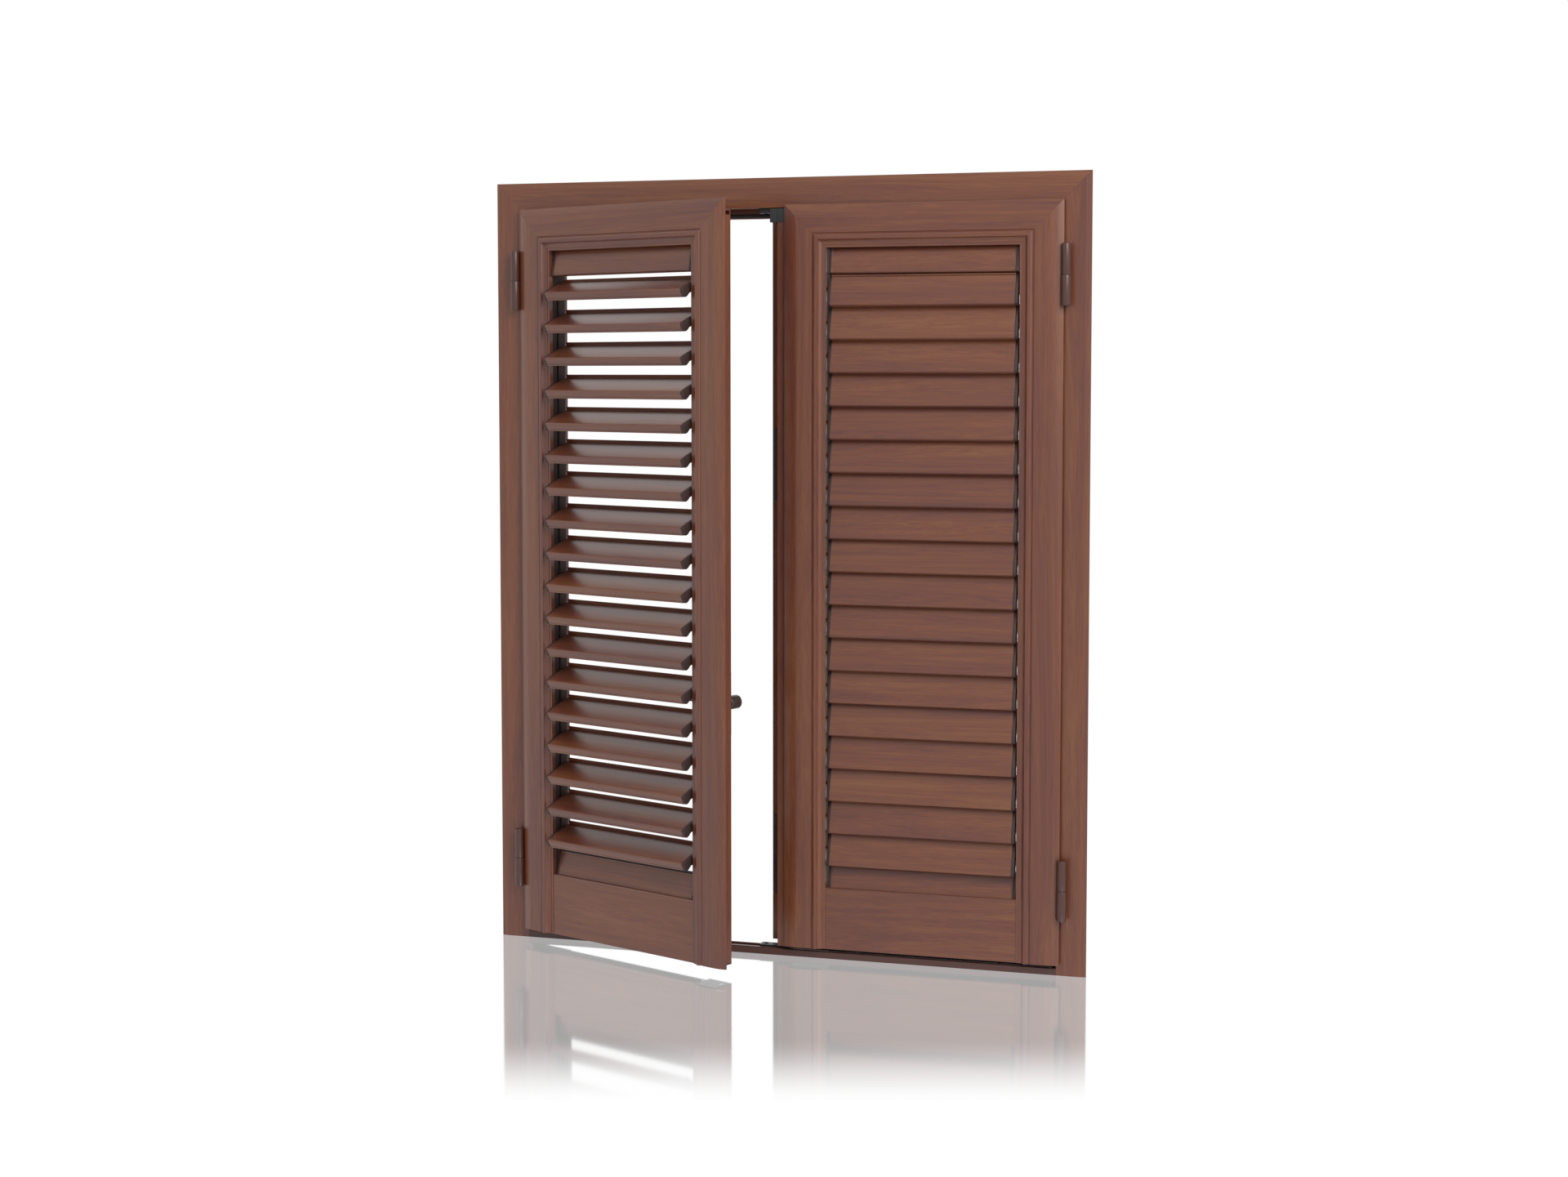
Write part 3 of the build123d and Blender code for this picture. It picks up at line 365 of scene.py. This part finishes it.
def plain_finish(name, colour, roughness, metallic=0.0, mottle=60.0, shine=0.5):
    """A painted, moulded or plated finish with slight clouds in it and a fine tooth."""
    material = bpy.data.materials.new(name)
    material.use_nodes = True
    shader = material.node_tree.nodes["Principled BSDF"]
    start = Value(material.node_tree)
    place = start.node("TexCoord", output=3)
    cloud = start.node("TexNoise", inputs={"Vector": place, "Scale": mottle, "Detail": 3.0})
    dark = tuple(part * 0.88 for part in colour[:3]) + (1,)
    light = tuple(part * 1.12 for part in colour[:3]) + (1,)
    start.node("Mix", {"data_type": "RGBA"}, {0: cloud, 6: dark, 7: light}, output=2).drive(shader, "Base Color")
    (roughness - 0.06 + cloud * 0.12).drive(shader, "Roughness")
    shader.inputs["Metallic"].default_value = metallic
    shader.inputs["Specular IOR Level"].default_value = shine
    grit = start.node("TexNoise", inputs={"Vector": place, "Scale": 1500.0, "Detail": 2.0})
    soft_edges = start.node("Bevel", inputs={"Radius": 0.0006})
    tooth = start.node("Bump", inputs={"Height": grit, "Strength": 0.06, "Distance": 0.0005, "Normal": soft_edges})
    tooth.drive(shader, "Normal")
    return material


def block(low, high, radius=1.0):
    """Corners of an upright block with rounded uprights, from its low corner to its high one, seen from above."""
    left, front = low
    right, back = high
    return [(left, front, radius), (right, front, radius), (right, back, radius), (left, back, radius)]


def slot_at(line, half=slot_half):
    """Corners of a bolt's slot in the frame, seen from above."""
    return [
        (line - half[0], bolt_depth - half[1]),
        (line + half[0], bolt_depth - half[1]),
        (line + half[0], bolt_depth + half[1]),
        (line - half[0], bolt_depth + half[1]),
    ]


black_plastic = plain_finish("black plastic", screen_colour(30, 30, 32), 0.42)
left_slot, right_slot = slot_at(bolt_lines[0]), slot_at(bolt_lines[1])
keeper_depth, plate_depth = 9, 1
keepers = []
for low, high, depth, slots in (
    ((518, 10), (538, 30), keeper_depth, [left_slot]),
    ((558, 10), (575, 30), keeper_depth, [right_slot]),
    ((516, 8), (577, 32), plate_depth, [left_slot, right_slot]),
):
    keepers.append(moved(closed_shape(block(low, high), depth, slots), z=head_underside - depth))
set_piece(joined(*keepers), "upper_keepers", black_plastic, "frame", frame_place)

# Threshold
# A low hollow extrusion between the jambs, coated in a plainer brown that is made darker as painted shade for the
# shadow under the leaves. A black plate screwed into its valley takes the lower locking rod and the lower flush
# bolt.
# Plainer brown coating, darkened as painted shade for the shadow that falls on the threshold under the leaves.
threshold_painted_shade_coating = plain_finish("threshold coating with painted shade", screen_colour(80, 47, 40), 0.32, mottle=9.0)
nodes["frame_threshold"].material_slots[0].material = threshold_painted_shade_coating
small_slot = (3.4, 5.4)
valley, sill_plate_height = 6.05, 9.8
sill_slots = [slot_at(line, small_slot) for line in bolt_lines]
sill_plate = closed_shape(block((517.7, 9.7), (577.1, 30.3)), sill_plate_height, sill_slots)
set_piece(moved(sill_plate, z=valley), "sill_keeper", black_plastic, "frame", frame_place)

# Seals and screws of the frame
# A black rubber seal in the corner of the rebate, which the shut leaves press on, and countersunk steel
# screws with hexagon sockets in the reveal of each jamb.
rubber = plain_finish("black rubber", screen_colour(26, 26, 26), 0.6)
steel = plain_finish("zinc-plated steel", screen_colour(168, 166, 162), 0.32, 1.0)
seal_outside, seal_inside, seal_front = 64, 70, 38.8
seal_foot, seal_height = 10.5, 1365
seal_section = [
    (seal_outside, rebate),
    (seal_outside, seal_front, 1.8),
    (seal_inside, seal_front, 1.8),
    (seal_inside, rebate),
]
left_seal = moved(closed_shape(seal_section, seal_height), z=seal_foot)
right_seal = moved(closed_shape(seal_section, seal_height), z=seal_foot)
bmesh.ops.scale(right_seal, verts=right_seal.verts, vec=(-1, 1, 1))
head_seal = placed(moved(closed_shape(seal_section, frame_width - 2 * seal_inside), z=seal_inside), head_turn)
seals = joined(left_seal, moved(right_seal, x=frame_width), head_seal)
set_piece(seals, "rebate_seal", rubber, "frame", frame_place)


def screw_head(radius):
    """A low screw head with a socket, standing on z = 0."""
    head = bmesh.new()
    bmesh.ops.create_cone(
        head, cap_ends=True, segments=24, radius1=radius, radius2=radius * 0.8, depth=radius * 0.24
    )
    head.normal_update()
    top = [face for face in head.faces if face.normal.z > 0.9]
    bmesh.ops.inset_region(head, faces=top, thickness=radius * 0.4)
    bmesh.ops.translate(head, verts=[point for face in top for point in face.verts], vec=(0, 0, -radius * 0.2))
    return moved(head, z=radius * 0.12)


screws = []
screw_line, screw_inset = 28, 240
for x, turn in ((face_width, pi / 2), (frame_width - face_width, -pi / 2)):
    for z in (screw_inset, frame_height - screw_inset):
        screw_place = Matrix.Translation((x, screw_line, z)) @ Matrix.Rotation(turn, 4, "Y")
        screws.append(placed(screw_head(5.5), screw_place))
set_piece(joined(*screws), "jamb_screws", steel, "frame", frame_place)

# Hinges
# Four lift-off hinges with painted steel barrels. The lower half of each is on the jamb and a little stouter,
# the upper one is on the leaf, and a black washer lies between them.
hinge_paint = plain_finish("hinge paint", screen_colour(80, 49, 43), 0.28, mottle=9.0)
for name in ("frame_hinge_pins", "left_hinge_knuckles", "right_hinge_knuckles"):
    nodes[name].material_slots[0].material = hinge_paint


def eased(shape, radius, segments=3):
    """The same shape with its level edges rounded."""
    rims = [line for line in shape.edges if abs(line.verts[0].co.z - line.verts[1].co.z) < 0.001]
    bmesh.ops.bevel(shape, geom=rims, offset=radius, segments=segments, profile=0.5, affect="EDGES", material=-1)
    return shape


def drum(radius, height, edge, segments=40):
    """An upright round bar from z = 0, its rims rounded by edge."""
    shape = bmesh.new()
    bmesh.ops.create_cone(shape, cap_ends=True, segments=segments, radius1=radius, radius2=radius, depth=height)
    if edge:
        shape = eased(shape, edge)
    return moved(shape, z=height / 2)


hinge_axis = {"left": -525.5, "right": 525.5}
hinge_middles = (157.5, 1257.0)
hinge_front, half_hinge, washer = -36.5, 53.6, 1.0
lower_radius, upper_radius, washer_radius, rim_radius = 8.5, 8.0, 7.9, 1.2
for side, x in hinge_axis.items():
    lower, upper, washers = [], [], []
    for middle in hinge_middles:
        lower.append(moved(drum(lower_radius, half_hinge, rim_radius), x, hinge_front, middle - washer - half_hinge))
        upper.append(moved(drum(upper_radius, half_hinge, rim_radius), x, hinge_front, middle + washer))
        washers.append(moved(drum(washer_radius, washer, 0), x, hinge_front, middle - washer / 2))
    set_piece(joined(*lower), f"{side}_hinge_sleeves", hinge_paint, "frame", millimetres)
    set_piece(joined(*upper), f"{side}_hinge_caps", hinge_paint, f"{side}_leaf", millimetres)
    set_piece(joined(*washers), f"{side}_hinge_washers", rubber, "frame", millimetres)

# Stiles and rails of the leaves
# Hollow extrusions with a moulded face, coated like the frame. The top rail is mitred to the stiles and the
# bottom rail butts between them.
left_upright = wood_coating("coating, upright grain, left leaf", False, left_turn, 5.3)
left_level = wood_coating("coating, level grain, left leaf", True, left_turn, 1.7)
for side, upright, level in (("left", left_upright, left_level), ("right", upright_coating, level_coating)):
    nodes[f"{side}_hinge_stile"].material_slots[0].material = upright
    nodes[f"{side}_meeting_stile"].material_slots[0].material = upright
    nodes[f"{side}_top_rail"].material_slots[0].material = level
    nodes[f"{side}_bottom_rail"].material_slots[0].material = level

# End plug of the right meeting stile
# Moulded in dark grey. The plug shuts the top of the right leaf's closing bar and has a thin flange over the
# step beside it.
left_place = Matrix.Translation((-0.520633, -0.039109, 0.02)) @ Matrix.Rotation(-left_turn, 4, "Z") @ millimetres
right_place = Matrix.Translation((0.004, -0.037, 0.02)) @ millimetres
grey_plastic = plain_finish("dark grey plastic", screen_colour(44, 45, 48), 0.4)
plug_foot, plug_height = 1338.9, 24.8
plug = joined(
    closed_shape(block((-31.2, 17.8), (-15.8, 56.2), 1.5), plug_height),
    closed_shape(block((-16.4, 15.1), (-1.6, 15.9), 0.3), plug_height),
)
plug = moved(plug, z=plug_foot)
set_piece(plug, "right_end_plug", grey_plastic, "right_leaf", right_place)

# Pivot channels and control rods
# Moulded plastic channels in the stiles' pockets, with a row of pivot holes, and the aluminium strip behind
# the one at the hinges that couples the louvres.
channel_plastic = plain_finish("channel plastic", screen_colour(62, 48, 45), 0.6, shine=0.25)
aluminium = plain_finish("plain aluminium", screen_colour(150, 148, 145), 0.38, 1.0)
for side in ("left", "right"):
    nodes[f"{side}_pivot_channels"].material_slots[0].material = channel_plastic
    nodes[f"{side}_control_rod"].material_slots[0].material = aluminium

# Louvres
# Thirty-six hollow extruded blades, coated like the leaf, with a grooved nose, an arched top and a rear lip that
# lies behind the nose of the next one up when shut. The topmost lip is set forward to pass the fixed slat. Each
# blade is held between two dark moulded caps with pivot journals, and the cap at the hinges has a crank pin.
cap_plastic = plain_finish("cap plastic", screen_colour(64, 50, 47), 0.5, shine=0.3)
louvre_count, pivot_depth, lowest_pivot, pitch = 18, 21.0, 187.5, 60.5
blade_start, blade_end, cap_depth, cap_gap = 87.5, 428.5, 5.5, 0.1
nose, tail, lift = 33.0, 31.0, 2.2
journal_radius, journal_length = 2.9, 5.8
crank_radius, crank_angle = 7.5, radians(50)
pin_radius, pin_length = 1.7, 9.2
open_tilt, shut_tilt = 29.0, 80.0
blade_corners = [
    (nose, 11.5, 3.0),
    (2.0, 10.0, 26.0),
    (1.4 - tail, 4.7, 0.4),
    (1.4 - tail, 10.4, 0.5),
    (-tail - 0.6, 10.4, 0.5),
    (-tail - 0.6, 1.2, 0.8),
    (nose - 2.4, 1.2),
    (nose - 2.4, -5.4, 0.6),
    (nose, -5.4, 1.4),
    (nose, -2.0),
    (nose - 0.6, -1.6),
    (nose - 0.6, -1.0),
    (nose, -0.6),
]
blade_chamber = [(nose - 4.5, 9.0), (4.0 - tail, 3.5), (4.0 - tail, 2.5), (nose - 4.5, 2.5)]
top_blade_corners = [
    (nose, 11.5, 3.0),
    (2.0, 10.0, 26.0),
    (9.4 - tail, 6.0, 0.4),
    (9.4 - tail, 9.8, 0.5),
    (7.4 - tail, 9.8, 0.5),
    (7.4 - tail, 1.5, 0.4),
    (-tail - 0.6, 1.5, 0.4),
    (-tail - 0.6, -0.4, 0.4),
    (7.4 - tail, -0.4, 0.4),
] + blade_corners[6:]
top_blade_chamber = [(nose - 4.5, 9.0), (13.0 - tail, 5.0), (13.0 - tail, 2.5), (nose - 4.5, 2.5)]
cap_corners = [
    (nose + 0.4, 14.1, 5.5),
    (0, 12.4, 14.0),
    (-22.0, 6.2, 4.0),
    (-tail - 0.4, 2.4, 1.0),
    (-tail - 0.4, -2.8, 1.5),
    (-4.0, -7.0, 7.0),
    (19.0, -1.6, 3.0),
    (22.5, -4.2, 3.0),
    (nose + 0.4, -4.2, 5.0),
]


def louvre_axes(height, tilt):
    """Places a louvre's own axes in its leaf: x to the nose, y to the crown and z to the right."""
    lean = radians(tilt)
    return Matrix(
        (
            (0, 0, 1, 0),
            (-cos(lean), -sin(lean), 0, pivot_depth),
            (-sin(lean), cos(lean), 0, height),
            (0, 0, 0, 1),
        )
    )


def end_cap(corners, end, outward):
    """An end cap of that section, outward from z = end, its outer edges eased."""
    cap = closed_shape(corners, cap_depth, steps=4)
    rim = [edge for edge in cap.edges if all(point.co.z > cap_depth / 2 for point in edge.verts)]
    bmesh.ops.bevel(cap, geom=rim, offset=0.6, segments=2, profile=0.5, affect="EDGES", material=-1)
    bmesh.ops.scale(cap, verts=cap.verts, vec=(1, 1, outward))
    return moved(cap, z=end)


leaves = (("left", left_place, open_tilt, left_level, -1), ("right", right_place, shut_tilt, level_coating, 1))
for side, leaf_place, tilt, coating, crank_side in leaves:
    for row in range(louvre_count):
        number = f"{row + 1:02d}"
        body = f"{side}_louvre_{number}"
        place = leaf_place @ louvre_axes(lowest_pivot + (louvre_count - 1 - row) * pitch, tilt)
        section, chamber = (blade_corners, blade_chamber) if row else (top_blade_corners, top_blade_chamber)
        blade = closed_shape(section, blade_end - blade_start - 2 * cap_gap, [chamber], steps=6)
        blade = moved(blade, y=lift, z=blade_start + cap_gap)
        grain = 7.3 * row + (3.9 if side == "left" else 0.0)
        name = f"{side}_louvre_blade_{number}"
        blade = set_piece(blade, name, coating, body, place, grain)
        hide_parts(body)
        ends = []
        for end, outward in ((blade_start, -1), (blade_end, 1)):
            outside = end + outward * cap_depth
            ends.append(end_cap(cap_corners, end, outward))
            journal = drum(journal_radius, journal_length, 0, 16)
            ends.append(moved(journal, z=min(outside, outside + outward * journal_length)))
            if outward == crank_side:
                pin = drum(pin_radius, pin_length, 0, 12)
                pin = moved(pin, -crank_radius * cos(crank_angle), -crank_radius * sin(crank_angle))
                ends.append(moved(pin, z=min(outside, outside + outward * pin_length)))
        set_piece(joined(*ends), f"{side}_louvre_caps_{number}", cap_plastic, body, place)

# Caps of the fixed slats
# The slats under the top rail and on the bottom rail don't turn, but end in dark caps too, cut off where they
# meet the rail. A black strip along the lower slat shuts the gap below the last louvre, and its black stands in
# for the shadow there as painted shade.
slat_cap_corners = [
    (nose + 0.5, 5.9, 1.5),
    (0, 5.1),
    (-tail - 0.5, 3.9, 0.5),
    (-tail - 0.5, -2.9, 0.5),
    (nose - 1.2, -6.5, 0.5),
    (nose + 0.5, -4.3, 0.5),
]
slat_cap_inset = 0.2
slats = ((1276.5, 1297.8, (0, 0, 1)), (127.0, 115.2, (0, 0, -1)))
for side, leaf_place in (("left", left_place), ("right", right_place)):
    slat_caps = []
    for height, cut, away in slats:
        for end, outward in ((blade_start, -1), (blade_end, 1)):
            cap = end_cap(slat_cap_corners, end - outward * slat_cap_inset, outward)
            cap = placed(cap, louvre_axes(height, shut_tilt))
            slat_caps.append(cut_shape(cap, (0, 0, cut), away))
    set_piece(joined(*slat_caps), f"{side}_slat_caps", cap_plastic, f"{side}_leaf", leaf_place)
    # Black strip on the lower slat: it closes the gap below the last louvre, and its black is painted shade for the
    # shadow there.
    painted_shade_strip = moved(closed_shape([(82, 24.6), (434, 24.6), (434, 27.4, 0.8), (82, 27.4, 0.8)], 10), z=152)
    set_piece(painted_shade_strip, f"{side}_slat_painted_shade_strip", rubber, f"{side}_leaf", leaf_place)

# Bottom brushes and guides
# A black pile strip in the underside of each leaf sweeps the threshold. Black guides close the bottom ends of
# the meeting stiles round the locking rods.
pile = 6
for side, leaf_place, start, stop in (("left", left_place, 20, 436), ("right", right_place, 80, 496)):
    sweep = moved(closed_shape(block((start, 27), (stop, 31), 0.8), pile), z=-pile)
    set_piece(sweep, f"{side}_bottom_brush", rubber, f"{side}_leaf", leaf_place)
guide_height, guide_foot = 2.15, -2.2
guides = (
    ("left", left_place, (436.9, 10.6), (489.1, 54.1), (476.8, 30.7), (483.2, 41.3)),
    ("right", right_place, (-16.1, 16.1), (79.1, 54.1), (-8.7, 30.7), (-2.3, 41.3)),
)
for side, leaf_place, low, high, hole_low, hole_high in guides:
    hole = [hole_low, (hole_high[0], hole_low[1]), hole_high, (hole_low[0], hole_high[1])]
    guide = moved(closed_shape(block(low, high, 0.5), guide_height, [hole]), z=guide_foot)
    set_piece(guide, f"{side}_rod_guide", black_plastic, f"{side}_leaf", leaf_place)

# Handle
# A painted plate on the rear face of the left leaf's meeting stile, with a round hub and a flat tapering
# lever with rounded edges that turns the locking rods.
handle_paint = plain_finish("handle paint", screen_colour(62, 50, 48), 0.3)
nodes["handle_plate"].material_slots[0].material = handle_paint
handle_axes = Matrix(((1, 0, 0, 470), (0, 0, 1, 54), (0, 1, 0, 470), (0, 0, 0, 1)))
lever_thickness = 11
lever = closed_shape([(6, 9.4, 6), (-108, 6.5, 6), (-108, -6.5, 6), (6, -9.4, 6)], lever_thickness, steps=8)
lever = eased(lever, 2.6, 4)
hub, spindle = drum(12.6, 28.0, 2.4), drum(4, 20, 0, 20)
handle = placed(joined(moved(lever, z=20.3), moved(hub, z=10.3), moved(spindle, z=-9.6)), handle_axes)
handle = set_piece(handle, "lever_handle", handle_paint, "handle_lever", left_place)
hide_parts("handle_lever")
plate_face = 10
plate_screws = joined(*[moved(screw_head(3.4), 0, height, plate_face) for height in (-46, 46)])
set_piece(placed(plate_screws, handle_axes), "handle_screws", steel, "left_leaf", left_place)

# Locking rods and flush bolts
# Zinc-plated steel rods inside the left leaf's meeting stile, moved by the handle, and the painted flush bolts of
# the right leaf with their finger sliders.
bolt_paint = plain_finish("bolt paint", screen_colour(34, 33, 33), 0.38)
for name in ("lock_rod_upper", "lock_rod_lower"):
    nodes[name].material_slots[0].material = steel
for name in ("right_bolt_upper", "right_bolt_lower"):
    nodes[name].material_slots[0].material = bolt_paint
